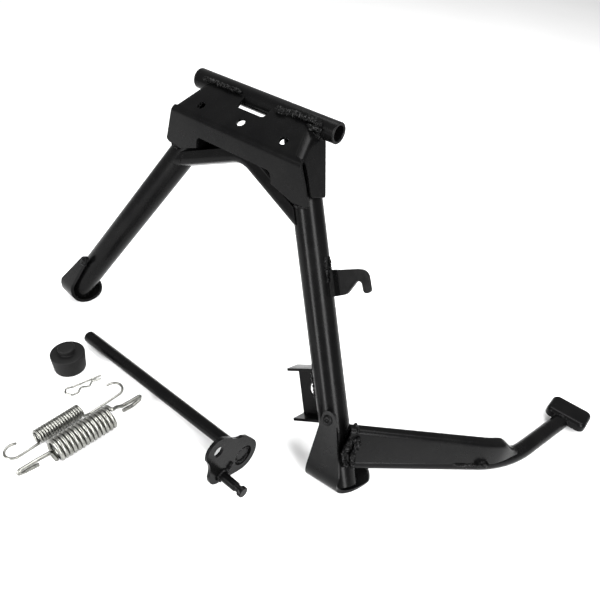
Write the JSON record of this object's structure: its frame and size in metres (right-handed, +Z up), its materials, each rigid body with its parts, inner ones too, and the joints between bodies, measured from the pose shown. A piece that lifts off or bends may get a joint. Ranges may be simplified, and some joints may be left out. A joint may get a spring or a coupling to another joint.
{
  "type": "motorcycle centre stand",
  "caption": "Splayed two-legged welded tube stand with a pivot tube, folded front plate, shoes and foot lever, with its pivot shaft, springs, hairpin clip and rubber stop.",
  "frame": {"origin": "centre of the pivot tube's bore, midway along it", "axes": "+X along the pivot towards the leg with the foot lever, +Z up, the stand's front faces -Y; it leans back at its resting angle on the floor"},
  "size_m": [0.6533, 0.496, 0.3268],
  "materials": {
    "black_paint": "semi-gloss black paint on welded steel",
    "zinc_wire": "bright zinc-plated spring wire",
    "rubber": "matt moulded rubber"
  },
  "bodies": {
    "root": {"pivot_tube": "black_paint", "front_plate": "black_paint", "arch_brace": "black_paint", "left_leg": "black_paint", "right_leg": "black_paint", "left_shoe": "black_paint", "right_shoe": "black_paint", "shoe_plugs": "black_paint", "spring_hook": "black_paint", "stop_bracket": "black_paint", "lever_bar": "black_paint", "lever_channel": "black_paint", "pedal_pad": "black_paint", "pivot_shaft": "black_paint", "spring_plate": "black_paint", "shaft_weld": "black_paint", "spring_stud": "black_paint", "outer_spring": "zinc_wire", "inner_spring": "zinc_wire", "hairpin_clip": "zinc_wire", "rubber_stop": "rubber"}
  },
  "joints": []
}
